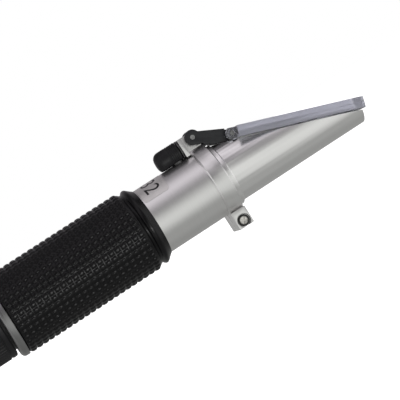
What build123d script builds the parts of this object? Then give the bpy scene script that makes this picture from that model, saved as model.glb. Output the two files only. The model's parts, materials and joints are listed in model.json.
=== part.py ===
from build123d import *
from math import atan2, cos, degrees, hypot, radians, sqrt, tan
import os

# A hand-held refractometer, in millimetres. It is drawn with X along the optical axis towards
# the prism, Z towards the hinge side and x = 0 on the rear face of the hinge collar. The
# finished pieces are then moved so that the origin is the middle of the base of the whole.

# Fits and clearances
seat_gap = 0.02           # between pieces that are bonded, pressed or screwed together
running_gap = 0.05        # radial play of a pin or shaft that turns or slides
axial_play = 0.15         # end play of the focusing ring on the lens cell
free_gap = 0.3            # between pieces that only pass each other
edge_break = 0.35         # chamfer on turned edges

# Barrel
tube_radius = 11.25
tube_wall = 1.4
bare_barrel = 21.5        # collar to grip
grip_length = 54.1
grip_wall = 2.4           # over the tube, to the tops of the knobs
grip_lip_length = 2.7     # taper in front of the grip's flange
grip_lip_wall = 0.2       # at the front end of the taper
grip_flange_step = 0.3    # the flange is this much lower than the knobs
grip_groove_depth = 1.1
trim_ring_length = 2.7
trim_ring_land = 0.9      # straight part beside the grip
trim_ring_crown = 0.45    # bulge of the rounded part
trim_ring_rear_wall = 0.65

# Prism end
nose_step = 1.25          # the front body is this much slimmer than the tube
shoulder_step = 0.75
shoulder_length = 1.8
shank_length = 6.0        # part of the front body inside the tube
nose_wall = 1.3
face_angle = 19.4         # slope of the prism face
face_setback = 2.7        # from the collar to the start of the slope
nose_tip_height = 3.8
light_bore_radius = 6.2

# Measuring prism
prism_width = 12.0
prism_rear_margin = 6.1   # from the start of the slope, along X
prism_front_margin = 7.9  # from the tip, along X
seal_width = 0.6
seal_depth = 1.4

# Hinge collar
collar_length = 5.2
collar_wall = 1.1
collar_slit = 1.0
ear_width = 6.2           # each ear, across the barrel
ear_drop = 4.75           # below the ring
clamp_screw_drop = 2.7
clamp_screw_radius = 1.0
clamp_head_radius = 1.9
clamp_head_height = 1.1
clamp_slot_depth = 0.6
clamp_slot_reach = 1.2
clamp_slot_half_width = 0.25
clamp_slot_turn = 30.0    # degrees
lug_half_width = 2.0
lug_wall = 1.5
lug_wall_half_width = 3.6
lug_wall_overhang = 1.3   # behind the collar
lug_nose = 1.5            # in front of the link pin
lug_top_setback = 1.0     # the top is flat up to this far behind the pin

# Hinge link and its pins
pin_rise = 3.25           # link pin above the ring
link_pin_x = 3.6
plate_pin_x = 14.9
pin_radius = 0.78
pin_proud = 0.1           # of the link, at each end
link_half_width = 3.5
link_top = 1.8            # above the line between the pins
link_bottom = 2.1         # below it
link_end_radius = 2.5
link_nose_radius = 1.8
link_neck = 2.8
link_step = 2.2           # the body ends this far before the plate pin
fork_depth = 4.0
link_skirt_gap = 0.3      # over the collar, the shoulder and the prism face

# Daylight plate
plate_width = 20.0
plate_thickness = 3.6
plate_gap = 0.45          # over the prism face at the plate pin
plate_opening = 0.1       # degrees flatter than the prism face
plate_overhang = 1.9      # beyond the tip
plate_rear_setback = 1.0  # the wide part starts this far from the pin
plate_corner_radius = 2.2
plate_ledge = 0.12        # the upper layer is this much smaller all round
plate_ear_width = 1.5
plate_ear_radius = 2.2

# Calibration screw, its boss and its cap
boss_radius = 2.2
boss_rise = 0.65          # from the tube to the boss
boss_length = 6.65
boss_flange_radius = 3.4
boss_flange_thickness = 0.5
boss_setback = 0.15       # behind the lug wall
boss_foot_radius = 2.1
boss_foot_x = -4.2
boss_foot_floor = 0.35    # tube wall left under the foot
zero_screw_radius = 1.25
zero_screw_length = 2.7
zero_tip_radius = 0.4
zero_tip_offset = 0.2
zero_slot_half_width = 0.2
zero_slot_depth = 0.6
post_radius = 1.15
post_headroom = 0.5       # over the post, inside the boss
tip_play = 0.04           # of the screw's tip in the post, up and down
cap_wall = 1.3            # over the boss
cap_length = 8.4
cap_end = 1.6
cap_rear_break = 1.0
cap_front_break = 0.5
cap_tube_gap = 0.2
cap_setback = 0.25        # behind the boss flange

# Objective on its bimetal strip
slider_length = 4.0
slider_width = 4.0
slider_bottom = 6.3
slider_head_gap = 0.65    # under the tube wall
guide_bore_radius = 6.2
strip_width = 3.6
strip_thickness = 0.6
strip_reach = 9.6         # from the slider to the far end of the objective cell
small_screw_radius = 0.45
small_head_radius = 0.85
small_head_height = 0.5
small_screw_reach = 1.2   # into the slider
small_bore_depth = 1.3
cell_screw_reach = 0.6    # into the objective cell
objective_cell_radius = 6.0
objective_cell_length = 4.0
objective_radius = 4.6
objective_thickness = 2.4
objective_opening = 4.0
objective_lip = 0.6
strip_screw_spacing = 2.0
lens_edge = 0.9

# Light stops and reticle
baffle_thickness = 0.8
baffle_places = {"front_baffle": (-28.0, 6.2), "rear_baffle": (-46.0, 6.8)}
reticle_x = -62.0
reticle_radius = 8.0
reticle_thickness = 1.4
reticle_cell_length = 6.0
reticle_lip = 1.5         # in front of the disc
reticle_opening = 6.9
reticle_ring_length = 2.0

# Eyepiece
spigot_length = 7.8
eyepiece_flange = 0.55
flange_proud = 0.05       # of the trim ring
sleeve_step = 1.05        # the fixed sleeve is this much slimmer than the tube
sleeve_length = 11.2
sleeve_wall = 1.4
slide_gap = 0.1           # radial play of the lens cell
focus_gap = 0.6           # between the trim ring and the focusing ring
focus_travel = 3.0
focus_ring_wall = 1.0
focus_ring_length = 14.6
focus_end_wall = 1.8
focus_grip_wall = 0.83
focus_grip_length = 13.4
focus_grip_setback = 0.1
cup_step = 0.85           # the eyecup's spigot is this much slimmer than the ring
cup_spigot_inset = 1.0
cup_spigot_length = 4.5
cup_spigot_wall = 0.9
cell_length = 19.4
cell_wall = 1.7
cell_shoulder = 1.0
cell_neck_wall = 1.7
cell_lip = 1.0
eye_lens_thickness = 3.6
field_lens_thickness = 3.0
field_ring_length = 1.2
retainer_length = 1.2
guide_screw_radius = 0.8
guide_screw_reach = 0.8   # into the lens cell
guide_screw_sink = 0.15   # below the sleeve
guide_screw_setback = 4.6 # behind the eyepiece flange
guide_slot_half_width = 0.16
guide_slot_depth = 0.65
eyecup_length = 20.0
eyecup_neck_wall = 2.0
eyecup_rim_radius = 19.0
eyecup_wall = 1.4
eyecup_throat_radius = 9.6
eyecup_flare_start = 1.0  # behind the focusing ring's spigot
eyecup_bend_setback = 0.8 # of the middle of the flare, towards the eye
eyecup_bend_share = 0.36  # how far it has opened there, 0 at the neck and 1 at the rim
eyecup_bend_wall = 1.54

# Label
label_length = 9.3
label_thickness = 0.08
label_half_angle = 57.0

# Places that follow from the sizes above
bore_radius = tube_radius - tube_wall
grip_radius = tube_radius + grip_wall
grip_front_x = -bare_barrel
grip_rear_x = grip_front_x - grip_length
trim_rear_x = grip_rear_x - trim_ring_length
tube_rear_x = trim_rear_x + eyepiece_flange - flange_proud
collar_radius = tube_radius + seat_gap + collar_wall
housing_radius = tube_radius - nose_step
face_start_x = collar_length + face_setback
tip_x = face_start_x + (2 * housing_radius - nose_tip_height) / tan(radians(face_angle))
zero_axis_z = tube_radius + boss_rise + boss_radius
cap_radius = boss_radius + cap_wall
objective_rear_x = boss_foot_x - slider_length / 2 - strip_reach
boss_front_x = -lug_wall_overhang - boss_setback
cap_front_x = boss_front_x - boss_flange_thickness - cap_setback
eyepiece_x = tube_rear_x - eyepiece_flange
focus_front_x = trim_rear_x - focus_gap
focus_rear_x = focus_front_x - focus_ring_length
sleeve_radius = tube_radius - sleeve_step
sleeve_bore_radius = sleeve_radius - sleeve_wall
focus_bore_radius = sleeve_radius + running_gap
focus_core_radius = focus_bore_radius + focus_ring_wall
focus_grip_radius = focus_core_radius + seat_gap + focus_grip_wall
cell_radius = sleeve_bore_radius - slide_gap
cell_bore_radius = cell_radius - cell_wall
cell_neck_radius = cell_radius - cell_shoulder
eye_opening = cell_neck_radius - cell_neck_wall
cup_spigot_radius = focus_core_radius - cup_step
cup_bore_radius = cup_spigot_radius - cup_spigot_wall
retainer_radius = cup_bore_radius - free_gap
eyecup_neck_radius = cup_spigot_radius + seat_gap + eyecup_neck_wall
slider_top = bore_radius - slider_head_gap
cell_rear_x = focus_rear_x + focus_end_wall + axial_play
cell_front_x = cell_rear_x + cell_length
neck_rear_x = focus_rear_x - axial_play - retainer_length
cup_spigot_x = focus_rear_x + cup_spigot_inset
eyecup_rear_x = cup_spigot_x - eyecup_length


def face_height(x):
    """Height of the sloping prism face over the optical axis."""
    return nose_tip_height - housing_radius + (tip_x - x) * tan(radians(face_angle))


link_pin_z = collar_radius + pin_rise
plate_pin_z = face_height(plate_pin_x) + (plate_gap + plate_thickness / 2) / cos(radians(face_angle))
link_span = hypot(plate_pin_x - link_pin_x, link_pin_z - plate_pin_z)
link_angle = degrees(atan2(link_pin_z - plate_pin_z, plate_pin_x - link_pin_x))
plate_angle = face_angle - plate_opening
plate_reach = (tip_x + plate_overhang - plate_pin_x) / cos(radians(plate_angle))
pocket_half_width = prism_width / 2 + seal_width
pocket_floor = -sqrt((housing_radius - nose_wall) ** 2 - pocket_half_width ** 2)
prism_rear_x = face_start_x + prism_rear_margin
prism_front_x = tip_x - prism_front_margin


# Building blocks

def rod(x0, x1, radius):
    """Plain cylinder along the optical axis between two stations."""
    return Pos((x0 + x1) / 2, 0, 0) * Rot(0, 90, 0) * Cylinder(radius, abs(x1 - x0))


def turned(*points):
    """Body of revolution from the (x, radius) corners of its section."""
    return revolve(Plane.XZ * make_face(Polyline(*points, close=True)), Axis.X, 360)


def ring(x0, x1, outer, inner, rear_break=0.0, front_break=0.0):
    """Turned ring from x0 (rear) to x1 (front), with chamfers on its outer edges."""
    section = [(x0, inner), (x1, inner)]
    section += [(x1, outer - front_break), (x1 - front_break, outer)] if front_break else [(x1, outer)]
    section += [(x0 + rear_break, outer), (x0, outer - rear_break)] if rear_break else [(x0, outer)]
    return turned(*section)


def block(x0, x1, y0, y1, z0, z1):
    """Box between two corners."""
    return Pos((x0 + x1) / 2, (y0 + y1) / 2, (z0 + z1) / 2) * Box(x1 - x0, y1 - y0, z1 - z0)


def slab(half_width, *points):
    """XZ outline extruded to both sides of the middle plane."""
    return extrude(Plane.XZ * make_face(Polyline(*points, close=True)), half_width, both=True)


def cross_rod(x, z, radius, y0, y1):
    """Cylinder across the barrel, between two side stations."""
    return Pos(x, (y0 + y1) / 2, z) * Rot(90, 0, 0) * Cylinder(radius, abs(y1 - y0))


def post(x, y, radius, z0, z1):
    """Upright cylinder."""
    return Pos(x, y, (z0 + z1) / 2) * Cylinder(radius, z1 - z0)


def face_radius(thickness, radius):
    """Radius of the spherical faces of a lens."""
    bulge = (thickness - lens_edge) / 2
    return (radius ** 2 + bulge ** 2) / (2 * bulge)


def face_offset(thickness, radius, at_radius):
    """From the middle plane of a lens to its face, at a distance from the axis."""
    sphere = face_radius(thickness, radius)
    return thickness / 2 - sphere + sqrt(sphere ** 2 - at_radius ** 2)


def lens(middle, thickness, radius):
    """Lens with two spherical faces on a cylindrical edge."""
    sphere = face_radius(thickness, radius)
    reach = sphere - thickness / 2
    ball = Rot(0, 90, 0) * Sphere(sphere)
    blank = rod(middle - thickness / 2, middle + thickness / 2, radius)
    return blank & Pos(middle - reach, 0, 0) * ball & Pos(middle + reach, 0, 0) * ball


def hinge_frame(x, z, angle):
    """Local frame on a pin: local X points down a slope of the given angle."""
    return Pos(x, 0, z) * Rot(0, angle, 0)


# Middle planes of the lenses, each seated against the lip or ring of its cell
eyepiece_radius = cell_bore_radius - seat_gap
objective_seat = face_offset(objective_thickness, objective_radius, objective_opening)
eye_seat = face_offset(eye_lens_thickness, eyepiece_radius, eye_opening)
field_seat = face_offset(field_lens_thickness, eyepiece_radius, eye_opening)
objective_x = objective_rear_x + objective_lip + seat_gap + objective_seat
eye_lens_x = cell_rear_x + cell_lip + seat_gap + eye_seat
field_lens_x = cell_front_x - field_ring_length - field_seat


# Barrel

def make_main_tube():
    tube = ring(tube_rear_x, collar_length - seat_gap, tube_radius, bore_radius)
    return tube - post(boss_foot_x, 0, boss_foot_radius + seat_gap, 0, tube_radius + 1)


def make_prism_housing():
    shoulder_radius = housing_radius + shoulder_step
    shoulder_front = collar_length + shoulder_length
    body = rod(collar_length, tip_x, housing_radius)
    body += ring(collar_length, shoulder_front, shoulder_radius, light_bore_radius, 0.0, edge_break)
    body += rod(collar_length - shank_length, collar_length, bore_radius - seat_gap)
    top = housing_radius + shoulder_step + 1
    body -= slab(top, (face_start_x, face_height(face_start_x)), (tip_x + 1, face_height(tip_x + 1)),
                 (tip_x + 1, top), (face_start_x, top))
    body -= rod(collar_length - shank_length - 1, prism_rear_x, light_bore_radius)
    return body - block(prism_rear_x - seal_width, prism_front_x + seal_width,
                        -pocket_half_width, pocket_half_width, pocket_floor, top)


def make_main_prism():
    bottom = pocket_floor + seat_gap
    return slab(prism_width / 2, (prism_rear_x, bottom), (prism_front_x, bottom),
                (prism_front_x, face_height(prism_front_x)), (prism_rear_x, face_height(prism_rear_x)))


def make_prism_seal():
    drop = seal_depth / cos(radians(face_angle))
    rear = prism_rear_x - seal_width + seat_gap
    front = prism_front_x + seal_width - seat_gap
    layer = slab(pocket_half_width - seat_gap, (rear, face_height(rear)), (front, face_height(front)),
                 (front, face_height(front) - drop), (rear, face_height(rear) - drop))
    return layer - block(prism_rear_x - seat_gap, prism_front_x + seat_gap, -prism_width / 2 - seat_gap,
                         prism_width / 2 + seat_gap, pocket_floor, housing_radius)


def make_grip_sleeve():
    inner = tube_radius + seat_gap
    flange_x = grip_front_x - grip_lip_length
    groove_x = flange_x - grip_lip_length / 2
    body_x = groove_x - grip_lip_length / 2
    return turned((grip_rear_x, inner), (grip_front_x, inner), (grip_front_x, inner + grip_lip_wall),
                  (flange_x, grip_radius - grip_flange_step), (groove_x, grip_radius - grip_groove_depth),
                  (body_x, grip_radius), (grip_rear_x, grip_radius))


def make_rear_trim_ring():
    front = grip_rear_x - seat_gap
    inner = tube_radius + seat_gap
    rear_radius = tube_radius + trim_ring_rear_wall
    round_start = front - trim_ring_land
    middle_x = (round_start + trim_rear_x) / 2 - trim_ring_crown
    middle_r = (grip_radius + rear_radius) / 2 + trim_ring_crown
    section = make_face([
        Line((trim_rear_x, inner), (front, inner)),
        Line((front, inner), (front, grip_radius)),
        Line((front, grip_radius), (round_start, grip_radius)),
        ThreePointArc((round_start, grip_radius), (middle_x, middle_r), (trim_rear_x, rear_radius)),
        Line((trim_rear_x, rear_radius), (trim_rear_x, inner)),
    ])
    return revolve(Plane.XZ * section, Axis.X, 360)


def make_scale_label():
    rear = grip_front_x + free_gap
    sheet = ring(rear, rear + label_length, tube_radius + seat_gap + label_thickness, tube_radius + seat_gap)
    reach = 2 * tube_radius
    spread = reach * tan(radians(label_half_angle))
    wedge = extrude(Plane.YZ * make_face(Polyline((0, 0), (spread, reach), (-spread, reach), close=True)),
                    2 * bare_barrel, both=True)
    return sheet & wedge


# Hinge

def make_hinge_collar():
    ear_bottom = -collar_radius - ear_drop
    ear_side = collar_slit / 2 + ear_width
    wall_top = link_pin_z + link_top
    body = ring(0, collar_length, collar_radius, tube_radius + seat_gap, edge_break, edge_break)
    body += block(0, collar_length, -ear_side, ear_side, ear_bottom, -tube_radius)
    lug_front = link_pin_x + lug_nose
    body += slab(lug_half_width, (-lug_wall_overhang, tube_radius), (lug_front, tube_radius),
                 (lug_front, link_pin_z), (link_pin_x - lug_top_setback, wall_top),
                 (-lug_wall_overhang, wall_top))
    body += block(-lug_wall_overhang, lug_wall - lug_wall_overhang,
                  -lug_wall_half_width, lug_wall_half_width, tube_radius, wall_top)
    body -= rod(-lug_wall_overhang - 1, collar_length + 1, tube_radius + seat_gap)
    body -= block(-1, collar_length + 1, -collar_slit / 2, collar_slit / 2, ear_bottom - 1, 0)
    lug_side = lug_half_width + 1
    body -= cross_rod(link_pin_x, link_pin_z, pin_radius + running_gap, -lug_side, lug_side)
    screw_x = collar_length / 2
    screw_z = -collar_radius - clamp_screw_drop
    body -= cross_rod(screw_x, screw_z, clamp_screw_radius + seat_gap, -ear_side - 1, ear_side + 1)
    return body - cross_rod(screw_x, screw_z, clamp_head_radius + free_gap, -ear_side - 1,
                            -ear_side + clamp_head_height + edge_break)


def make_collar_clamp_screw():
    ear_side = collar_slit / 2 + ear_width
    seat = -ear_side + clamp_head_height + edge_break - seat_gap
    screw = cross_rod(0, 0, clamp_head_radius, seat - clamp_head_height, seat)
    screw += cross_rod(0, 0, clamp_screw_radius, seat, ear_side - edge_break)
    head_face = seat - clamp_head_height
    reaches = (clamp_slot_reach, clamp_slot_half_width)
    for half_x, half_z in (reaches, reaches[::-1]):
        screw -= block(-half_x, half_x, head_face - 1, head_face + clamp_slot_depth, -half_z, half_z)
    middle = Pos(collar_length / 2, 0, -collar_radius - clamp_screw_drop)
    return middle * Rot(0, clamp_slot_turn, 0) * screw


def link_skirt():
    """Lower half of the link, whose outline follows the collar, the shoulder and the prism face."""
    collar_top = collar_radius + link_skirt_gap
    shoulder_top = housing_radius + shoulder_step + link_skirt_gap
    rear = collar_length + link_skirt_gap
    middle = collar_length + shoulder_length + link_skirt_gap
    slope = radians(link_angle)
    front = link_pin_x + (link_span - link_step) * cos(slope)
    lift = link_skirt_gap / cos(radians(face_angle))
    front_top = link_pin_z - (front - link_pin_x) * tan(slope)
    return slab(link_half_width, (link_pin_x, link_pin_z), (link_pin_x, collar_top), (rear, collar_top),
                (rear, shoulder_top), (middle, shoulder_top), (middle, face_height(middle) + lift),
                (front, face_height(front) + lift), (front, front_top))


def make_hinge_link():
    body_end = link_span - link_step
    link = cross_rod(0, 0, link_end_radius, -link_half_width, link_half_width)
    link += block(0, body_end, -link_half_width, link_half_width, -link_bottom, link_top)
    link += block(0, link_span, -link_half_width, link_half_width, -link_neck / 2, link_neck / 2)
    link += cross_rod(link_span, 0, link_nose_radius, -link_half_width, link_half_width)
    local = hinge_frame(link_pin_x, link_pin_z, link_angle)
    link += local.inverse() * link_skirt()
    fork_half = lug_half_width + free_gap / 2
    link -= block(-link_end_radius - 1, fork_depth, -fork_half, fork_half, -link_end_radius - 1,
                  link_end_radius + 1)
    for station in (0, link_span):
        link -= cross_rod(station, 0, pin_radius + seat_gap, -link_half_width - 1, link_half_width + 1)
    return local * link


def make_link_pin():
    end = link_half_width + pin_proud
    return cross_rod(link_pin_x, link_pin_z, pin_radius, -end, end)


def make_plate_pin():
    end = link_half_width + free_gap + plate_ear_width
    return cross_rod(plate_pin_x, plate_pin_z, pin_radius, -end, end)


def make_daylight_plate():
    half = plate_width / 2
    low = -plate_thickness / 2
    high = plate_thickness / 2
    lower = block(plate_rear_setback, plate_reach, -half, half, low, 0)
    upper = block(plate_rear_setback, plate_reach - plate_ledge, -half + plate_ledge,
                  half - plate_ledge, 0, high)
    lower = fillet(lower.edges().filter_by(Axis.Z).group_by(Axis.X)[-1], plate_corner_radius)
    upper = fillet(upper.edges().filter_by(Axis.Z).group_by(Axis.X)[-1], plate_corner_radius - plate_ledge)
    plate = lower + upper
    notch_half = link_half_width + free_gap
    ear_half = notch_half + plate_ear_width
    ears = cross_rod(0, 0, plate_ear_radius, -ear_half, ear_half) & block(
        -plate_ear_radius, plate_ear_radius, -ear_half, ear_half, low, high)
    ears += block(0, plate_rear_setback, -ear_half, ear_half, low, high)
    plate += ears
    notch_front = hypot(link_nose_radius, free_gap) + free_gap
    plate -= block(-plate_ear_radius - 1, notch_front, -notch_half, notch_half, low - 1, high + 1)
    plate -= cross_rod(0, 0, pin_radius + running_gap, -ear_half - 1, ear_half + 1)
    return hinge_frame(plate_pin_x, plate_pin_z, plate_angle) * plate


# Calibration

def make_zero_screw_block():
    lift = Pos(0, 0, zero_axis_z)
    rear = boss_front_x - boss_flange_thickness - boss_length
    boss = lift * rod(rear, boss_front_x, boss_radius)
    boss += lift * rod(boss_front_x - boss_flange_thickness, boss_front_x, boss_flange_radius)
    boss -= rod(rear - 1, boss_front_x + 1, tube_radius + seat_gap)
    boss += post(boss_foot_x, 0, boss_foot_radius, bore_radius + boss_foot_floor, zero_axis_z)
    boss -= lift * rod(rear - 1, boss_foot_x + post_radius + free_gap, zero_screw_radius + running_gap)
    post_bore_top = zero_axis_z + post_radius + post_headroom
    return boss - post(boss_foot_x, 0, post_radius + running_gap, 0, post_bore_top)


def make_zero_screw():
    journal_front = boss_foot_x - post_radius - free_gap
    journal_rear = journal_front - zero_screw_length
    screw = rod(journal_rear, journal_front, zero_screw_radius)
    screw += Pos(0, zero_tip_offset, 0) * rod(journal_front, boss_foot_x + post_radius, zero_tip_radius)
    screw -= block(journal_rear - 1, journal_rear + zero_slot_depth, -zero_slot_half_width,
                   zero_slot_half_width, -zero_screw_radius, zero_screw_radius)
    return Pos(0, 0, zero_axis_z) * screw


def make_zero_screw_cap():
    rear = cap_front_x - cap_length
    cap = ring(rear, cap_front_x, cap_radius, boss_radius + running_gap, cap_rear_break, cap_front_break)
    cap += rod(rear, rear + cap_end, cap_radius - cap_rear_break)
    foot_half = boss_foot_radius + free_gap
    cap -= block(boss_foot_x - foot_half, cap_front_x + 1, -foot_half, foot_half, -cap_radius, 0)
    return Pos(0, 0, zero_axis_z) * cap - rod(rear - 1, cap_front_x + 1, tube_radius + cap_tube_gap)


def make_adjuster_guide():
    half = slider_length / 2
    body = ring(boss_foot_x - half, boss_foot_x + half, bore_radius - seat_gap, guide_bore_radius)
    side = slider_width / 2 + running_gap
    return body - block(boss_foot_x - half - 1, boss_foot_x + half + 1, -side, side, 0, tube_radius)


def make_adjuster_slider():
    half = slider_length / 2
    side = slider_width / 2
    slider = block(boss_foot_x - half, boss_foot_x + half, -side, side, slider_bottom, slider_top)
    slider += post(boss_foot_x, 0, post_radius, slider_bottom, zero_axis_z + post_radius)
    slot_half = zero_tip_radius + zero_tip_offset + running_gap
    slot_rise = zero_tip_radius + tip_play
    slider -= block(boss_foot_x - half, boss_foot_x + half, -slot_half, slot_half,
                    zero_axis_z - slot_rise, zero_axis_z + slot_rise)
    for x, _ in strip_screw_places()[:2]:
        slider -= post(x, 0, small_screw_radius + seat_gap, slider_bottom - 1,
                       slider_bottom + small_bore_depth)
    return slider


def strip_screw_places():
    """Screw stations on the strip, and which side of it each head is on."""
    cell_middle = objective_rear_x + objective_cell_length / 2
    return [(boss_foot_x - strip_screw_spacing / 2, -1), (boss_foot_x + strip_screw_spacing / 2, -1),
            (cell_middle + strip_screw_spacing / 2, 1), (cell_middle - strip_screw_spacing / 2, 1)]


def make_bimetal_strip():
    high = slider_bottom - seat_gap
    strip = block(objective_rear_x, boss_foot_x + slider_length / 2, -strip_width / 2,
                  strip_width / 2, high - strip_thickness, high)
    for x, _ in strip_screw_places():
        strip -= post(x, 0, small_screw_radius + seat_gap, 0, zero_axis_z)
    return strip


def make_strip_screws():
    high = slider_bottom - seat_gap
    low = high - strip_thickness
    screws = []
    for x, side in strip_screw_places():
        if side < 0:
            head = post(x, 0, small_head_radius, low - seat_gap - small_head_height, low - seat_gap)
            screws.append(head + post(x, 0, small_screw_radius, low - seat_gap,
                                      high + small_screw_reach))
        else:
            head = post(x, 0, small_head_radius, high + seat_gap, high + seat_gap + small_head_height)
            screws.append(head + post(x, 0, small_screw_radius, low - cell_screw_reach,
                                      high + seat_gap))
    return Compound(children=screws)


def make_objective_cell():
    rear = objective_rear_x
    front = rear + objective_cell_length
    flat = slider_bottom - strip_thickness - 2 * seat_gap
    cell = ring(rear, front, objective_cell_radius, objective_radius + seat_gap)
    cell += ring(rear, rear + objective_lip, objective_cell_radius, objective_opening)
    cell -= block(rear - 1, front + 1, -objective_cell_radius, objective_cell_radius, flat, tube_radius)
    for x, _ in strip_screw_places()[2:]:
        cell -= post(x, 0, small_screw_radius + seat_gap, objective_radius, tube_radius)
    return cell


def make_objective_lens():
    return lens(objective_x, objective_thickness, objective_radius)


def make_objective_ring():
    rear = objective_x + objective_seat + seat_gap
    return ring(rear, objective_rear_x + objective_cell_length, objective_radius, objective_opening)


# Light stops and reticle

def make_reticle_cell():
    front = reticle_x + reticle_lip
    rear = front - reticle_cell_length
    cell = ring(rear, front, bore_radius - seat_gap, reticle_opening)
    return cell - rod(rear - 1, reticle_x, reticle_radius + seat_gap)


def make_reticle_disc():
    return rod(reticle_x - seat_gap - reticle_thickness, reticle_x - seat_gap, reticle_radius)


def make_reticle_ring():
    front = reticle_x - 2 * seat_gap - reticle_thickness
    return ring(front - reticle_ring_length, front, reticle_radius, reticle_opening)


# Eyepiece

def make_eyepiece_barrel():
    body = ring(tube_rear_x, tube_rear_x + spigot_length, bore_radius - seat_gap, sleeve_bore_radius)
    body += ring(eyepiece_x, tube_rear_x - seat_gap, tube_radius, sleeve_bore_radius)
    body += ring(eyepiece_x, tube_rear_x, bore_radius - seat_gap, sleeve_bore_radius)
    body += ring(eyepiece_x - sleeve_length, eyepiece_x, sleeve_radius, sleeve_bore_radius)
    return body - post(eyepiece_x - guide_screw_setback, 0, guide_screw_radius + seat_gap, 0, tube_radius)


def make_guide_screw():
    x = eyepiece_x - guide_screw_setback
    screw = post(x, 0, guide_screw_radius, cell_radius - guide_screw_reach, sleeve_radius - guide_screw_sink)
    slot_floor = sleeve_radius - guide_screw_sink - guide_slot_depth
    return screw - block(x - 1, x + 1, -guide_slot_half_width, guide_slot_half_width, slot_floor, tube_radius)


def make_lens_cell():
    cell = ring(cell_rear_x, cell_front_x, cell_radius, cell_bore_radius)
    cell += ring(neck_rear_x, cell_rear_x, cell_neck_radius, eye_opening)
    cell += ring(cell_rear_x, cell_rear_x + cell_lip, cell_radius, eye_opening)
    x = eyepiece_x - guide_screw_setback
    side = guide_screw_radius + running_gap
    return cell - block(x - side - slide_gap, x + side + slide_gap + focus_travel, -side, side,
                        cell_radius - guide_screw_reach - slide_gap, tube_radius)


def make_eye_lens():
    return lens(eye_lens_x, eye_lens_thickness, eyepiece_radius)


def make_lens_spacer():
    rear = eye_lens_x + eye_seat + seat_gap
    return ring(rear, field_lens_x - field_seat - seat_gap, eyepiece_radius, eye_opening)


def make_field_lens():
    return lens(field_lens_x, field_lens_thickness, eyepiece_radius)


def make_field_lens_ring():
    return ring(field_lens_x + field_seat + seat_gap, cell_front_x, eyepiece_radius, eye_opening)


def make_focus_ring():
    outer = focus_core_radius
    body = ring(focus_rear_x, focus_front_x, outer, focus_bore_radius)
    body += ring(focus_rear_x, focus_rear_x + focus_end_wall, outer, cell_neck_radius + running_gap)
    body -= ring(focus_rear_x - 1, cup_spigot_x, outer + 1, cup_spigot_radius)
    return body + ring(cup_spigot_x - cup_spigot_length, cup_spigot_x, cup_spigot_radius, cup_bore_radius)


def make_focus_grip():
    front = focus_front_x - focus_grip_setback
    return ring(front - focus_grip_length, front, focus_grip_radius, focus_core_radius + seat_gap,
                edge_break, edge_break)


def make_ring_retainer():
    front = focus_rear_x - axial_play
    return ring(front - retainer_length, front, retainer_radius, cell_neck_radius + seat_gap)


def make_eyecup():
    front = cup_spigot_x - seat_gap
    step = front - cup_spigot_length - seat_gap
    socket = cup_spigot_radius + seat_gap
    flare = step - eyecup_flare_start
    rim = eyecup_rear_x
    rim_inner = eyecup_rim_radius - eyecup_wall
    bend = (flare + rim) / 2 - eyecup_bend_setback
    outer_bend = eyecup_neck_radius + (eyecup_rim_radius - eyecup_neck_radius) * eyecup_bend_share
    inner_bend = outer_bend - eyecup_bend_wall
    section = make_face([
        Line((front, socket), (front, eyecup_neck_radius)),
        Line((front, eyecup_neck_radius), (flare, eyecup_neck_radius)),
        ThreePointArc((flare, eyecup_neck_radius), (bend, outer_bend), (rim, eyecup_rim_radius)),
        Line((rim, eyecup_rim_radius), (rim, rim_inner)),
        ThreePointArc((rim, rim_inner), (bend, inner_bend), (flare, eyecup_throat_radius)),
        Line((flare, eyecup_throat_radius), (step, eyecup_throat_radius)),
        Line((step, eyecup_throat_radius), (step, socket)),
        Line((step, socket), (front, socket)),
    ])
    return revolve(Plane.XZ * section, Axis.X, 360)


def make_pieces():
    """Every piece by name, drawn about the optical axis."""
    pieces = {
        "main_tube": make_main_tube(),
        "prism_housing": make_prism_housing(),
        "main_prism": make_main_prism(),
        "prism_seal": make_prism_seal(),
        "grip_sleeve": make_grip_sleeve(),
        "rear_trim_ring": make_rear_trim_ring(),
        "scale_label": make_scale_label(),
        "hinge_collar": make_hinge_collar(),
        "collar_clamp_screw": make_collar_clamp_screw(),
        "hinge_link": make_hinge_link(),
        "link_pin": make_link_pin(),
        "plate_pin": make_plate_pin(),
        "daylight_plate": make_daylight_plate(),
        "zero_screw_block": make_zero_screw_block(),
        "zero_screw": make_zero_screw(),
        "zero_screw_cap": make_zero_screw_cap(),
        "adjuster_guide": make_adjuster_guide(),
        "adjuster_slider": make_adjuster_slider(),
        "bimetal_strip": make_bimetal_strip(),
        "strip_screws": make_strip_screws(),
        "objective_cell": make_objective_cell(),
        "objective_lens": make_objective_lens(),
        "objective_ring": make_objective_ring(),
        "reticle_cell": make_reticle_cell(),
        "reticle_disc": make_reticle_disc(),
        "reticle_ring": make_reticle_ring(),
        "eyepiece_barrel": make_eyepiece_barrel(),
        "guide_screw": make_guide_screw(),
        "lens_cell": make_lens_cell(),
        "field_lens": make_field_lens(),
        "field_lens_ring": make_field_lens_ring(),
        "lens_spacer": make_lens_spacer(),
        "eye_lens": make_eye_lens(),
        "focus_ring": make_focus_ring(),
        "focus_grip": make_focus_grip(),
        "ring_retainer": make_ring_retainer(),
        "eyecup": make_eyecup(),
    }
    for name, (x, opening) in baffle_places.items():
        pieces[name] = ring(x - baffle_thickness, x, bore_radius - seat_gap, opening)
    return pieces


def base_shift(pieces):
    """Move that puts the origin under the middle of the whole, on its lowest point."""
    boxes = [piece.bounding_box() for piece in pieces]
    middle_x = (min(box.min.X for box in boxes) + max(box.max.X for box in boxes)) / 2
    return Pos(-middle_x, 0, -min(box.min.Z for box in boxes))


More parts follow.
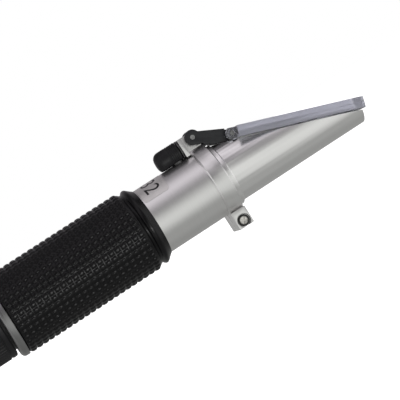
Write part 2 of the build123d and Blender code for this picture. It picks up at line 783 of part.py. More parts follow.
def main():
    pieces = make_pieces()
    to_base = base_shift(pieces.values())
    os.makedirs("parts", exist_ok=True)
    for name, piece in pieces.items():
        export_step(to_base * piece, f"parts/{name}.step")
    print("moved by", to_base.position)


if __name__ == "__main__":
    main()
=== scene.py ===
# %% [markdown]
# # A hand-held refractometer
# The object is a metal barrel with a slanted glass prism at one end and an eyepiece at the other.
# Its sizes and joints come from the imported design, which is loaded first and never moved. This
# lesson gives each piece its real surface, and models the rubber parts and the printed label.

import json
from math import cos, pi, radians, sin

import bmesh
import bpy
from mathutils import Matrix, Vector

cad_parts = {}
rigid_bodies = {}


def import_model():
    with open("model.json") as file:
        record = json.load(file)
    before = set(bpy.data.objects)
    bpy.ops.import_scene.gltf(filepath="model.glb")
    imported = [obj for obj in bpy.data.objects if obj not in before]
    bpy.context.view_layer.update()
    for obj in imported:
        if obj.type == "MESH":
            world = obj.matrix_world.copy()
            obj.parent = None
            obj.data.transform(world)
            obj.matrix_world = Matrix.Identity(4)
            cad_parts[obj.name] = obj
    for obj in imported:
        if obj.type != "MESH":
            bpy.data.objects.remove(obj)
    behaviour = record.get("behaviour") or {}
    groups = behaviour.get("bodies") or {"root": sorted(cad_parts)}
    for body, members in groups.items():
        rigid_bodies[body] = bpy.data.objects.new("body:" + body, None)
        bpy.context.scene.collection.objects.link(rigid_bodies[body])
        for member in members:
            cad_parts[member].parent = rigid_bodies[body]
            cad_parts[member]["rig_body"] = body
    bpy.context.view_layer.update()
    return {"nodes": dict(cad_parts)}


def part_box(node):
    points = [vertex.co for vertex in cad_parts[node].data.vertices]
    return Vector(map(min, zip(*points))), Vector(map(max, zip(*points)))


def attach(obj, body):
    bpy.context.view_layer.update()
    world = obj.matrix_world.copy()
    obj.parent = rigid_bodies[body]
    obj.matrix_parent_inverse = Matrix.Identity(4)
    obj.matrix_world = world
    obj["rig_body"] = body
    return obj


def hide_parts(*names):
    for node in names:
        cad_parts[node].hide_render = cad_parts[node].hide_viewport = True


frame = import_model()
nodes = frame["nodes"]
MM = 0.001

# %% [markdown]
# ## Where things are
# Every place is read from the boxes of the design's nodes, so that nothing has to be fitted. The
# optical axis runs along X through the middle of the main tube.

# %% Stations along the barrel
tube_low, tube_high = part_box("main_tube")
AXIS_Z = (tube_low.z + tube_high.z) / 2
TUBE_R = (tube_high.z - tube_low.z) / 2
clamp_low, clamp_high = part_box("collar_clamp_screw")
COLLAR_X = (clamp_low.x + clamp_high.x) / 2
print(f"optical axis at z = {AXIS_Z / MM:.2f} mm, tube radius {TUBE_R / MM:.2f} mm")

# %% [markdown]
# ## The camera
# A long lens from the side flattens the perspective, as in a catalogue. The camera stands a little
# towards the eyepiece and a little above the axis, and is rolled so that the prism end points to
# the upper right. A rotation made of three unit vectors states this directly: the view's right,
# its up, and the way back to the camera.

# %% Set the camera
VIEW_DISTANCE = 0.55
VIEW_SWING = radians(8.9)
VIEW_RISE = radians(1.5)
VIEW_ROLL = radians(33.0)
AIM_BEHIND_COLLAR = 7.3 * MM
AIM_BELOW_AXIS = 2.4 * MM
back = Vector((-sin(VIEW_SWING), -cos(VIEW_SWING) * cos(VIEW_RISE), sin(VIEW_RISE))).normalized()
along = (Vector((1, 0, 0)) - back * back.x).normalized()
across = back.cross(along)
aim = Vector((COLLAR_X - AIM_BEHIND_COLLAR, 0.0, AXIS_Z)) - across * AIM_BELOW_AXIS
right = cos(VIEW_ROLL) * along - sin(VIEW_ROLL) * across
upward = sin(VIEW_ROLL) * along + cos(VIEW_ROLL) * across
lens = bpy.data.cameras.new("product_camera")
lens.sensor_width = 36.0
lens.lens = 156.0
lens.clip_start = 0.01
camera = bpy.data.objects.new("product_camera", lens)
bpy.context.scene.collection.objects.link(camera)
turn = Matrix((right, upward, back)).transposed().to_4x4()
camera.matrix_world = Matrix.Translation(aim + back * VIEW_DISTANCE) @ turn
bpy.context.scene.camera = camera
bpy.context.scene.view_settings.view_transform = "Standard"
print("camera at", [round(v, 4) for v in camera.matrix_world.translation])

# %% [markdown]
# ## Small helpers for shader nodes
# Materials here are built from a few procedural nodes. One helper makes a node and sets its
# inputs, and another makes a colour ramp from a short list of stops.

# %% Node helpers
def add_node(tree, kind, values=None, **options):
    """One shader node, with options set as attributes and values set on its inputs."""
    node = tree.nodes.new(kind)
    for name, option in options.items():
        setattr(node, name, option)
    for name, value in (values or {}).items():
        node.inputs[name].default_value = value
    return node


def add_ramp(tree, source, stops, interpolation="LINEAR"):
    """A colour ramp over a 0 to 1 value. A stop's colour is one grey or three parts."""
    node = tree.nodes.new("ShaderNodeValToRGB")
    node.color_ramp.interpolation = interpolation
    keys = node.color_ramp.elements
    while len(keys) < len(stops):
        keys.new(0.5)
    for key, (place, colour) in zip(keys, stops):
        key.position = place
        key.color = (colour, colour, colour, 1) if isinstance(colour, float) else (*colour, 1)
    tree.links.new(source, node.inputs["Fac"])
    return node


# %% [markdown]
# ## The studio
# The object is lit as if it stood in a light tent. Satin metal shows a tent as soft bands along the
# barrel, so the world holds soft strips of light side by side round the barrel's axis, each with
# its own brightness, set until the bands looked right from this camera. A direction's
# angle round the X axis picks its strip: 0 degrees is the near side and 90 is straight up. The
# upper strips lean up towards the prism end, and the end walls are bright, which lights the
# chamfers. Seen directly, or through glass, the background is white.

# %% The light tent
TENT_STRIPS = [
    (-180, 0.40), (-130, 0.26), (-99, 0.30), (-82, 0.38), (-65, 0.27), (-50, 0.38),
    (-36, 0.68), (-20, 0.78), (-8, 0.62), (4, 0.34), (15, 0.16), (25, 0.17),
    (35, 0.48), (47, 0.80), (62, 0.84), (80, 0.38), (100, 0.10), (135, 0.36), (180, 0.42),
]
PINK_TINT = (1.0, 0.95, 1.0)
GREEN_TINT = (0.99, 1.0, 0.975)
LEAN_FROM = 0.155             # the direction's X that the tube mirrors to the camera
LEAN_TO = 0.25                # and the X that the tip of the prism end mirrors
LEAN = radians(22)            # how far the upper strips have leaned by then
LEAN_FOOT = radians(-40)      # the strips below this one don't lean
END_WALL_FROM = 0.78          # the share of a direction along X where an end wall begins
END_WALL_FULL = END_WALL_FROM + 0.2
END_WALL_LEVEL = 0.95


def tent_colour(angle, level):
    """Light from above the near side is faintly pink, and from below it faintly green."""
    tint = PINK_TINT if angle > 10 else GREEN_TINT
    return tuple(level * part for part in tint)


def light_tent():
    world = bpy.data.worlds.new("light_tent")
    bpy.context.scene.world = world
    world.use_nodes = True
    tree = world.node_tree
    tree.nodes.clear()
    link = tree.links.new
    place = add_node(tree, "ShaderNodeTexCoord")
    parts = add_node(tree, "ShaderNodeSeparateXYZ")
    link(place.outputs["Generated"], parts.inputs[0])
    near = add_node(tree, "ShaderNodeMath", {1: -1.0}, operation="MULTIPLY")
    link(parts.outputs["Y"], near.inputs[0])
    angle = add_node(tree, "ShaderNodeMath", operation="ARCTAN2")
    link(parts.outputs["Z"], angle.inputs[0])
    link(near.outputs[0], angle.inputs[1])
    lean = add_node(tree, "ShaderNodeMapRange", {"From Min": LEAN_FROM, "From Max": LEAN_TO,
                                                 "To Min": 0.0, "To Max": -LEAN})
    link(parts.outputs["X"], lean.inputs["Value"])
    part = add_node(tree, "ShaderNodeMapRange", {"From Min": LEAN_FOOT, "From Max": 0.0})
    link(angle.outputs[0], part.inputs["Value"])
    leaning = add_node(tree, "ShaderNodeMath", operation="MULTIPLY_ADD")
    link(lean.outputs[0], leaning.inputs[0])
    link(part.outputs[0], leaning.inputs[1])
    link(angle.outputs[0], leaning.inputs[2])
    share = add_node(tree, "ShaderNodeMapRange", {"From Min": -pi, "From Max": pi})
    link(leaning.outputs[0], share.inputs["Value"])
    stops = [((a + 180) / 360, tent_colour(a, level)) for a, level in TENT_STRIPS]
    strips = add_ramp(tree, share.outputs[0], stops, "B_SPLINE")
    sideways = add_node(tree, "ShaderNodeMath", operation="ABSOLUTE")
    link(parts.outputs["X"], sideways.inputs[0])
    wall_stops = [(END_WALL_FROM, 0.0), (END_WALL_FULL, END_WALL_LEVEL)]
    walls = add_ramp(tree, sideways.outputs[0], wall_stops)
    brighter = add_node(tree, "ShaderNodeVectorMath", operation="MAXIMUM")
    link(strips.outputs["Color"], brighter.inputs[0])
    link(walls.outputs["Color"], brighter.inputs[1])
    seen = add_node(tree, "ShaderNodeBackground", {"Color": (1, 1, 1, 1)})
    lit = add_node(tree, "ShaderNodeBackground")
    link(brighter.outputs["Vector"], lit.inputs["Color"])
    ray = add_node(tree, "ShaderNodeLightPath")
    plain = add_node(tree, "ShaderNodeMath", operation="MAXIMUM")
    link(ray.outputs["Is Camera Ray"], plain.inputs[0])
    link(ray.outputs["Is Transmission Ray"], plain.inputs[1])
    direct = add_node(tree, "ShaderNodeMath", operation="SUBTRACT", use_clamp=True)
    link(plain.outputs[0], direct.inputs[0])
    link(ray.outputs["Glossy Depth"], direct.inputs[1])
    mix = add_node(tree, "ShaderNodeMixShader")
    link(direct.outputs[0], mix.inputs["Fac"])
    link(lit.outputs[0], mix.inputs[1])
    link(seen.outputs[0], mix.inputs[2])
    out = add_node(tree, "ShaderNodeOutputWorld")
    link(mix.outputs[0], out.inputs["Surface"])


light_tent()
print(len(TENT_STRIPS), "strips in the light tent")

# %% [markdown]
# ## The floor and one soft lamp
# The floor is a pale sheet under the object. It glows, so that it stays as white as the
# background, and the metal doesn't mirror it. One long low lamp on the near side runs along the
# barrel and puts a line of small glints on the black rubber. Its light goes through the floor and
# reaches only the rubber pieces, because the metal has the tent to mirror.

# %% Floor and lamp
FLOOR_SIZE = 6.0
FLOOR_GLOW = 1.0
LAMP_LENGTH = 0.40
LAMP_WIDTH = 0.05
LAMP_POWER = 0.50
LAMP_OFFSET = Vector((0.06, -0.40, -0.10))


def pale_floor():
    sheet = bmesh.new()
    bmesh.ops.create_grid(sheet, x_segments=1, y_segments=1, size=FLOOR_SIZE / 2)
    data = bpy.data.meshes.new("pale_floor")
    sheet.to_mesh(data)
    sheet.free()
    floor = bpy.data.objects.new("pale_floor", data)
    bpy.context.scene.collection.objects.link(floor)
    paper = bpy.data.materials.new("pale_paper")
    paper.use_nodes = True
    shader = paper.node_tree.nodes["Principled BSDF"]
    shader.inputs["Base Color"].default_value = (0.9, 0.9, 0.9, 1)
    shader.inputs["Roughness"].default_value = 0.9
    shader.inputs["Specular IOR Level"].default_value = 0.1
    shader.inputs["Emission Color"].default_value = (1, 1, 1, 1)
    shader.inputs["Emission Strength"].default_value = FLOOR_GLOW
    data.materials.append(paper)
    floor.visible_glossy = False
    floor.visible_diffuse = False
    floor.visible_shadow = False


def soft_lamp():
    data = bpy.data.lights.new("soft_lamp", "AREA")
    data.shape = "RECTANGLE"
    data.size = LAMP_LENGTH
    data.size_y = LAMP_WIDTH
    data.energy = LAMP_POWER
    lamp = bpy.data.objects.new("soft_lamp", data)
    bpy.context.scene.collection.objects.link(lamp)
    place = aim + LAMP_OFFSET
    face_way = Vector((0, -LAMP_OFFSET.y, -LAMP_OFFSET.z)).to_track_quat("-Z", "Y")
    lamp.matrix_world = Matrix.Translation(place) @ face_way.to_matrix().to_4x4()
    return lamp


pale_floor()
glint_lamp = soft_lamp()
print("studio ready")

# %% [markdown]
# ## Materials
# Each finish is one function of the same kind: a Principled shader, and a fine procedural pattern
# on Object coordinates that varies its colour and roughness and raises a bump. The objects sit at
# the origin, so Object coordinates are metres in the design's own frame, and the scales below are
# cycles per metre.

# %% The pattern helpers
def new_material(name):
    material = bpy.data.materials.new(name)
    material.use_nodes = True
    tree = material.node_tree
    return material, tree, tree.nodes["Principled BSDF"]


def surface_noise(tree, scale, stretch=(1.0, 1.0, 1.0), detail=3.0):
    """Noise over the object's own coordinates, drawn out or squeezed along X, Y and Z."""
    place = add_node(tree, "ShaderNodeTexCoord")
    mapping = add_node(tree, "ShaderNodeMapping", {"Scale": stretch})
    noise = add_node(tree, "ShaderNodeTexNoise", {"Scale": scale, "Detail": detail})
    tree.links.new(place.outputs["Object"], mapping.inputs["Vector"])
    tree.links.new(mapping.outputs["Vector"], noise.inputs["Vector"])
    return noise.outputs["Fac"]


def raise_bump(tree, shader, height, strength, distance):
    bump = add_node(tree, "ShaderNodeBump", {"Strength": strength, "Distance": distance})
    tree.links.new(height, bump.inputs["Height"])
    tree.links.new(bump.outputs["Normal"], shader.inputs["Normal"])


def vary_roughness(tree, shader, source, low, high):
    spread = add_node(tree, "ShaderNodeMapRange", {"From Min": 0.3, "From Max": 0.7,
                                                   "To Min": low, "To Max": high})
    tree.links.new(source, spread.inputs["Value"])
    tree.links.new(spread.outputs[0], shader.inputs["Roughness"])


def vary_colour(tree, shader, source, dark, light):
    colours = add_ramp(tree, source, [(0.3, dark), (0.7, light)])
    tree.links.new(colours.outputs["Color"], shader.inputs["Base Color"])


# %% [markdown]
# ### Satin aluminium
# The barrel is turned, finely blasted and clear anodised. The blasting leaves a grain too fine to
# see, which blurs the tent into soft bands, and the turning leaves faint rings round the axis. The
# rings are noise that is squeezed along X. A clean mirror metal would look like chrome instead.

# %% Satin aluminium
def satin_aluminium(name, dark, light, low, high):
    material, tree, shader = new_material(name)
    rings = surface_noise(tree, 30.0, (90.0, 1.0, 1.0), 2.0)
    grain = surface_noise(tree, 5200.0, detail=4.0)
    vary_colour(tree, shader, rings, dark, light)
    vary_roughness(tree, shader, rings, low, high)
    shader.inputs["Metallic"].default_value = 1.0
    raise_bump(tree, shader, grain, 0.12, 0.00008)
    return material


# %% [markdown]
# ### Bright metals
# The screws are plated steel, smoother than the barrel, so they show small hard highlights. The
# same function makes the other plated metals: the duller pins, the dark boss of the calibration
# screw, the dull nickel of the screw itself, and the warmer colour of the bimetal strip.

# %% Plated steel and boss metal
def plated_metal(name, dark, light, low, high):
    material, tree, shader = new_material(name)
    wear = surface_noise(tree, 900.0)
    vary_colour(tree, shader, wear, dark, light)
    vary_roughness(tree, shader, wear, low, high)
    shader.inputs["Metallic"].default_value = 1.0
    raise_bump(tree, shader, surface_noise(tree, 4000.0), 0.1, 0.00005)
    return material


# %% [markdown]
# ### The clamp screw
# The screw's head is painted bright in the middle, a painted highlight, and black round its rim, the
# painted shade of the recess that it sits in. The colour is a ramp over the distance from the screw's
# own axis, which runs along Y.

# %% Screw with painted highlight and shade
# The bright middle is a painted highlight, and the black rim is painted shade of the recess round the head.
SCREW_PAINTED_HIGHLIGHT = (0.80, 0.78, 0.74)
SCREW_PAINTED_SHADE = (0.05, 0.05, 0.05)
SCREW_HIGHLIGHT_TO = 0.55        # shares of the head's radius
SCREW_SHADE_FROM = 0.72


def painted_light_screw(middle, rim_radius):
    material, tree, shader = new_material("painted_light_screw")
    link = tree.links.new
    place = add_node(tree, "ShaderNodeTexCoord")
    centred = add_node(tree, "ShaderNodeVectorMath", {1: middle}, operation="SUBTRACT")
    link(place.outputs["Object"], centred.inputs[0])
    flat = add_node(tree, "ShaderNodeVectorMath", {1: (1, 0, 1)}, operation="MULTIPLY")
    link(centred.outputs["Vector"], flat.inputs[0])
    reach = add_node(tree, "ShaderNodeVectorMath", operation="LENGTH")
    link(flat.outputs["Vector"], reach.inputs[0])
    share = add_node(tree, "ShaderNodeMath", {1: rim_radius}, operation="DIVIDE")
    link(reach.outputs["Value"], share.inputs[0])
    # Painted highlight at the middle of the head, painted shade of the recess at its rim.
    highlight_and_shade = add_ramp(tree, share.outputs[0], [(SCREW_HIGHLIGHT_TO, SCREW_PAINTED_HIGHLIGHT),
                                              (SCREW_SHADE_FROM, SCREW_PAINTED_SHADE)])
    link(highlight_and_shade.outputs["Color"], shader.inputs["Base Color"])
    wear = surface_noise(tree, 1500.0)
    vary_roughness(tree, shader, wear, 0.18, 0.30)
    shader.inputs["Metallic"].default_value = 1.0
    raise_bump(tree, shader, wear, 0.1, 0.00005)
    return material


# %% [markdown]
# ### Black rubber
# The grip, the cap, the focusing band and the eyecup are moulded rubber. It is nearly black and
# scatters a broad dull shine, with a fine pitted skin. Each gets its own depth of black and its
# own roughness. The sealant round the prism is made the same way.

# %% Rubber
def rubber(name, dark, light, low, high, pitting=0.25):
    material, tree, shader = new_material(name)
    skin = surface_noise(tree, 2600.0, detail=5.0)
    vary_colour(tree, shader, surface_noise(tree, 300.0), dark, light)
    vary_roughness(tree, shader, skin, low, high)
    shader.inputs["Specular IOR Level"].default_value = 0.25
    raise_bump(tree, shader, skin, pitting, 0.00006)
    return material


# %% [markdown]
# ### Moulded plastic
# The link, the focusing ring and the eyepiece's sleeve are black plastic from a lightly textured
# mould: smoother than rubber, with a cooler black and a visible soft sheen along the edges. The
# black anodised cells inside the barrel are made the same way.

# %% Moulded plastic
def moulded_plastic(name, dark, light, low, high):
    material, tree, shader = new_material(name)
    texture = surface_noise(tree, 3200.0, detail=3.0)
    vary_colour(tree, shader, surface_noise(tree, 500.0), dark, light)
    vary_roughness(tree, shader, texture, low, high)
    raise_bump(tree, shader, texture, 0.15, 0.00005)
    return material


# %% [markdown]
# ### Acrylic and glass
# The daylight plate is tinted acrylic. Seen from its side the light crosses 20 mm of it, so its
# narrow sides look a milky lavender grey, while its broad faces look nearly clear. A real volume
# would have to be traced, so the tint is a ramp instead: it deepens, and lets less light through,
# in the outer fraction of a millimetre of the width. The prism and the lenses are clear glass.

# %% Acrylic and glass
PLATE_HALF_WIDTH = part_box("daylight_plate")[1].y
PLATE_SIDE_TINT = (0.67, 0.68, 0.79)
PLATE_FACE_TINT = (0.80, 0.81, 0.86)
PLATE_SIDE_CLEAR = 0.40       # the share of the light that goes through
PLATE_FACE_CLEAR = 0.85
FACE_TO = 0.93                # shares of the half width, between which one turns into the other
SIDE_FROM = 0.97


def tinted_acrylic():
    material, tree, shader = new_material("tinted_acrylic")
    link = tree.links.new
    place = add_node(tree, "ShaderNodeTexCoord")
    parts = add_node(tree, "ShaderNodeSeparateXYZ")
    link(place.outputs["Object"], parts.inputs[0])
    width = add_node(tree, "ShaderNodeMath", operation="ABSOLUTE")
    link(parts.outputs["Y"], width.inputs[0])
    share = add_node(tree, "ShaderNodeMath", {1: PLATE_HALF_WIDTH}, operation="DIVIDE")
    link(width.outputs[0], share.inputs[0])
    tint = add_ramp(tree, share.outputs[0], [(FACE_TO, PLATE_FACE_TINT), (SIDE_FROM, PLATE_SIDE_TINT)])
    flow = surface_noise(tree, 60.0, (0.6, 6.0, 6.0), 2.0)
    haze = add_ramp(tree, flow, [(0.3, 0.94), (0.7, 1.0)])
    body = add_node(tree, "ShaderNodeVectorMath", operation="MULTIPLY")
    link(tint.outputs["Color"], body.inputs[0])
    link(haze.outputs["Color"], body.inputs[1])
    link(body.outputs["Vector"], shader.inputs["Base Color"])
    vary_roughness(tree, shader, surface_noise(tree, 700.0), 0.10, 0.16)
    shader.inputs["IOR"].default_value = 1.49
    clear = add_ramp(tree, share.outputs[0], [(FACE_TO, PLATE_FACE_CLEAR), (SIDE_FROM, PLATE_SIDE_CLEAR)])
    link(clear.outputs["Color"], shader.inputs["Transmission Weight"])
    raise_bump(tree, shader, surface_noise(tree, 1800.0), 0.05, 0.00004)
    return material


def clear_glass(name, tint, ior):
    material, tree, shader = new_material(name)
    vary_colour(tree, shader, surface_noise(tree, 80.0), tuple(0.97 * part for part in tint), tint)
    vary_roughness(tree, shader, surface_noise(tree, 1500.0), 0.01, 0.03)
    shader.inputs["IOR"].default_value = ior
    shader.inputs["Transmission Weight"].default_value = 1.0
    return material


# %% [markdown]
# ### The label film
# The label is a thin silver foil under a clear film. It is flatter and a little greyer than the
# barrel, so it shows the same bands with less contrast.

# %% Label film and ink
def label_film():
    material, tree, shader = new_material("label_film")
    vary_colour(tree, shader, surface_noise(tree, 400.0), (0.80, 0.79, 0.77), (0.85, 0.84, 0.82))
    vary_roughness(tree, shader, surface_noise(tree, 2500.0), 0.40, 0.46)
    shader.inputs["Metallic"].default_value = 0.85
    shader.inputs["Coat Weight"].default_value = 0.3
    return material


def label_ink():
    material, tree, shader = new_material("label_ink")
    spots = surface_noise(tree, 1200.0)
    vary_colour(tree, shader, spots, (0.008, 0.008, 0.009), (0.016, 0.016, 0.017))
    vary_roughness(tree, shader, surface_noise(tree, 3000.0), 0.35, 0.45)
    return material


MATERIALS = {
    "satin_aluminium": satin_aluminium("satin_aluminium", (0.865, 0.86, 0.855),
                                       (0.89, 0.885, 0.88), 0.28, 0.31),
    "polished_aluminium": satin_aluminium("polished_aluminium", (0.965, 0.96, 0.955),
                                          (0.975, 0.97, 0.965), 0.275, 0.285),
    "grey_trim": satin_aluminium("grey_trim", (0.30, 0.30, 0.30), (0.36, 0.36, 0.36), 0.30, 0.36),
    "dull_steel": plated_metal("dull_steel", (0.26, 0.26, 0.26), (0.38, 0.38, 0.38), 0.22, 0.32),
    "dark_plate": plated_metal("dark_plate", (0.10, 0.10, 0.10), (0.16, 0.16, 0.16), 0.25, 0.35),
    # the clamp screw's colour paints its highlight and the shade of its recess
    "painted_light_screw": painted_light_screw((clamp_low + clamp_high) / 2, (clamp_high.z - clamp_low.z) / 2),
    "bright_steel": plated_metal("bright_steel", (0.62, 0.60, 0.55), (0.78, 0.76, 0.70), 0.18, 0.28),
    "boss_metal": plated_metal("boss_metal", (0.58, 0.57, 0.55), (0.70, 0.69, 0.67), 0.28, 0.38),
    "bimetal": plated_metal("bimetal", (0.66, 0.52, 0.34), (0.76, 0.62, 0.42), 0.25, 0.35),
    "grip_rubber": rubber("grip_rubber", (0.0015, 0.0015, 0.002), (0.003, 0.003, 0.0035),
                          0.20, 0.28, 0.06),
    "cap_rubber": rubber("cap_rubber", (0.008, 0.008, 0.009), (0.013, 0.013, 0.014), 0.42, 0.52),
    "focus_rubber": rubber("focus_rubber", (0.007, 0.007, 0.008), (0.012, 0.012, 0.013), 0.40, 0.55),
    "eyecup_rubber": rubber("eyecup_rubber", (0.008, 0.008, 0.008), (0.014, 0.014, 0.014), 0.50, 0.62),
    "black_link": moulded_plastic("black_link", (0.016, 0.017, 0.020), (0.024, 0.025, 0.029), 0.34, 0.44),
    "black_plastic": moulded_plastic("black_plastic", (0.012, 0.012, 0.013), (0.02, 0.02, 0.021), 0.3, 0.4),
    "black_anodised": moulded_plastic("black_anodised", (0.01, 0.01, 0.011), (0.018, 0.018, 0.02), 0.4, 0.5),
    "black_sealant": rubber("black_sealant", (0.012, 0.012, 0.012), (0.02, 0.02, 0.02), 0.5, 0.6),
    "clear_acrylic": tinted_acrylic(),
    "prism_glass": clear_glass("prism_glass", (0.94, 0.99, 0.97), 1.62),
    "lens_glass": clear_glass("lens_glass", (0.98, 1.0, 0.99), 1.52),
    "label_film": label_film(),
    "label_ink": label_ink(),
}
print(len(MATERIALS), "materials")

# %% [markdown]
# ## The pieces that keep their design shape
# Pieces with the right shape already only get their finish. Each node names its finish in the
# design, so one loop swaps the plain finish of every node for the detailed one. A few nodes look
# unlike the others of their metal, such as the brighter prism housing and the dull pins, so a
# short table names a special finish for them.

# %% Finish the design's own pieces
SPECIAL_FINISHES = {
    "prism_housing": "polished_aluminium",
    "rear_trim_ring": "grey_trim",
    # the clamp screw's finish paints its highlight and the shade of its recess
    "collar_clamp_screw": "painted_light_screw",
    "zero_screw_block": "dark_plate",
    "link_pin": "dull_steel",
    "plate_pin": "dull_steel",
}
for node_name, node in nodes.items():
    slot_name = node.data.materials[0].name.split(".")[0]
    node["slot"] = slot_name
    node["finish"] = SPECIAL_FINISHES.get(node_name, slot_name)
    node.data.materials[0] = MATERIALS[node["finish"]]
print(len(nodes), "nodes finished")

# %% [markdown]
# ## Placing new pieces
# A new piece is made round the optical axis, with its finished place in its mesh, and its object
# stays at the origin. One helper turns a bmesh into such a piece, gives it its finish, and lets it
# ride on the body of the node that it stands for.

# %% Helpers for new pieces
def finish_piece(shape, name, node, finish, smooth=True):
    """Makes an object of the bmesh, which stands for a node of the design."""
    data = bpy.data.meshes.new(name)
    bmesh.ops.recalc_face_normals(shape, faces=shape.faces)
    for face in shape.faces:
        face.smooth = smooth
    open_edges = sum(1 for edge in shape.edges if not edge.is_manifold)
    shape.to_mesh(data)
    shape.free()
    data.materials.append(MATERIALS[finish])
    piece = bpy.data.objects.new(name, data)
    bpy.context.scene.collection.objects.link(piece)
    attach(piece, nodes[node]["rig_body"])
    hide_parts(node)
    print(f"{name}: {len(data.polygons)} faces, {open_edges} open edges")
    return piece


def spin_section(points, steps):
    """A closed ring from the (x, radius) points of its section, spun round the optical axis."""
    shape = bmesh.new()
    corners = [shape.verts.new((x, 0.0, AXIS_Z + radius)) for x, radius in points]
    edges = [shape.edges.new((a, b)) for a, b in zip(corners, corners[1:] + corners[:1])]
    bmesh.ops.spin(shape, geom=corners + edges, cent=(0, 0, AXIS_Z), axis=(1, 0, 0),
                   angle=2 * pi, steps=steps, use_merge=True)
    bmesh.ops.remove_doubles(shape, verts=shape.verts, dist=1e-7)
    bmesh.ops.recalc_face_normals(shape, faces=shape.faces)
    return shape


def radius_of(vert):
    """Distance of a vertex from the optical axis."""
    return Vector((vert.co.y, vert.co.z - AXIS_Z)).length


# %% [markdown]
# ## Softened edges
# Machined and moulded parts have small broken edges, and these catch the light as thin bright
# lines. The design's own edges are sharp. A copy of the node is merged and its flat faces are
# joined up, and then a Bevel modifier rounds only the edges that turn by more than 30 degrees.

# %% Softened copies
BEVEL_ANGLE = radians(30)


def softened(node, name, width, segments=3):
    shape = bmesh.new()
    shape.from_mesh(nodes[node].data)
    bmesh.ops.remove_doubles(shape, verts=shape.verts, dist=2e-6)
    bmesh.ops.dissolve_limit(shape, angle_limit=radians(0.5), verts=shape.verts, edges=shape.edges)
    piece = finish_piece(shape, name, node, nodes[node]["finish"])
    bevel = piece.modifiers.new("soft_edges", "BEVEL")
    bevel.width = width
    bevel.segments = segments
    bevel.limit_method = "ANGLE"
    bevel.angle_limit = BEVEL_ANGLE
    bevel.harden_normals = True
    return piece


softened("hinge_collar", "clamp_collar", 0.32 * MM)
softened("prism_housing", "slanted_prism_housing", 0.35 * MM)
softened("daylight_plate", "flip_up_daylight_plate", 0.10 * MM, 2)
softened("hinge_link", "moulded_hinge_link", 0.30 * MM)
softened("collar_clamp_screw", "cross_head_clamp_screw", 0.12 * MM)
softened("zero_screw_block", "adjuster_boss", 0.10 * MM)

# %% [markdown]
# ## The rubber grip
# The grip is one moulded sleeve with rings of small rounded knobs, a smooth groove, and a flange
# that tapers down to the tube. Cutting the knobs one by one would be slow. A section is spun into
# a ring with one square face for each knob, and each square is inset twice and raised. Its top is
# then narrowed to a crest, and one level of subdivision rounds every knob, groove and edge.

# %% Knobbed grip
KNOBS_ROUND = 40
KNOB_RINGS = 22
KNOB_HEIGHT = 0.52 * MM
KNOB_STEPS = [(0.09 * MM, 0.36 * MM), (0.32 * MM, 0.18 * MM)]
KNOB_CREST = 0.45             # width of a knob's crest along the barrel, as a share of its top
SUBDIVISION_SHRINK = 0.996    # a subdivided ring of 40 comes out this much smaller
VALLEY_RAISE = 0.12 * MM
FLANGE_LENGTH = 2.7 * MM
GROOVE_LENGTH = 2.7 * MM
grip_low, grip_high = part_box("grip_sleeve")
GRIP_R = grip_high.z - AXIS_Z


def knobbed_grip():
    valley = (GRIP_R - KNOB_HEIGHT + VALLEY_RAISE) / SUBDIVISION_SHRINK
    bore = (TUBE_R + 0.05 * MM) / SUBDIVISION_SHRINK
    front = grip_high.x
    flange = front - FLANGE_LENGTH
    body = flange - GROOVE_LENGTH
    pitch = (body - grip_low.x - 0.5 * MM) / KNOB_RINGS
    section = [(grip_low.x, bore), (grip_low.x, valley)]
    section += [(grip_low.x + 0.5 * MM + i * pitch, valley) for i in range(KNOB_RINGS + 1)]
    section += [(body + 0.35 * MM, valley - 0.1 * MM), (body + 1.1 * MM, GRIP_R - 1.2 * MM),
                (flange - 1.1 * MM, GRIP_R - 1.1 * MM), (flange - 0.75 * MM, GRIP_R - 0.45 * MM),
                (flange, GRIP_R - 0.1 * MM), (flange + 0.6 * MM, GRIP_R - 0.35 * MM),
                (front - 1.1 * MM, TUBE_R + 1.05 * MM), (front - 0.15 * MM, TUBE_R + 0.35 * MM),
                (front, TUBE_R + 0.22 * MM), (front, bore)]
    shape = spin_section(section, KNOBS_ROUND)
    first, last = grip_low.x + 0.4 * MM, body + 0.1 * MM
    cells = [f for f in shape.faces if first < f.calc_center_median().x < last
             and radius_of(f.verts[0]) > TUBE_R + 1.0 * MM and abs(f.normal.x) < 0.5]
    for margin, rise in KNOB_STEPS:
        bmesh.ops.inset_individual(shape, faces=cells, thickness=margin, depth=rise,
                                   use_even_offset=True)
    for top in cells:
        middle = top.calc_center_median().x
        for vert in top.verts:
            vert.co.x = middle + (vert.co.x - middle) * KNOB_CREST
    return finish_piece(shape, "knobbed_grip", "grip_sleeve", "grip_rubber")


grip = knobbed_grip()
rounding = grip.modifiers.new("rounding", "SUBSURF")
rounding.levels = rounding.render_levels = 1

# %% [markdown]
# ## The calibration cap
# A soft rubber cap keeps dust off the calibration screw. It is a thimble with a round end, a few
# fine grip grooves at its mouth, and a slot under it that lets it slide over the boss's foot. Its
# wall is spun round the boss's own axis. The slot is made by taking a few columns of faces out of
# the ring, and closing the cut with a bridge and two flat walls. What would lie inside the barrel
# is pushed out to its surface.

# %% Calibration cap
cap_low, cap_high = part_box("zero_screw_cap")
CAP_R = (cap_high.y - cap_low.y) / 2
CAP_Z = cap_high.z - CAP_R
CAP_BORE_R = CAP_R - 1.25 * MM
CAP_END = 1.6 * MM
CAP_ROUND = 2.3 * MM
CAP_STEPS = 60
CAP_SLOT_STEPS = 14
CAP_SLOT_LENGTH = 4.4 * MM
CAP_GROOVES = 5
CAP_GROOVE_PITCH = 0.62 * MM
CAP_GROOVE_DEPTH = 0.16 * MM
CAP_TUBE_GAP = 0.2 * MM


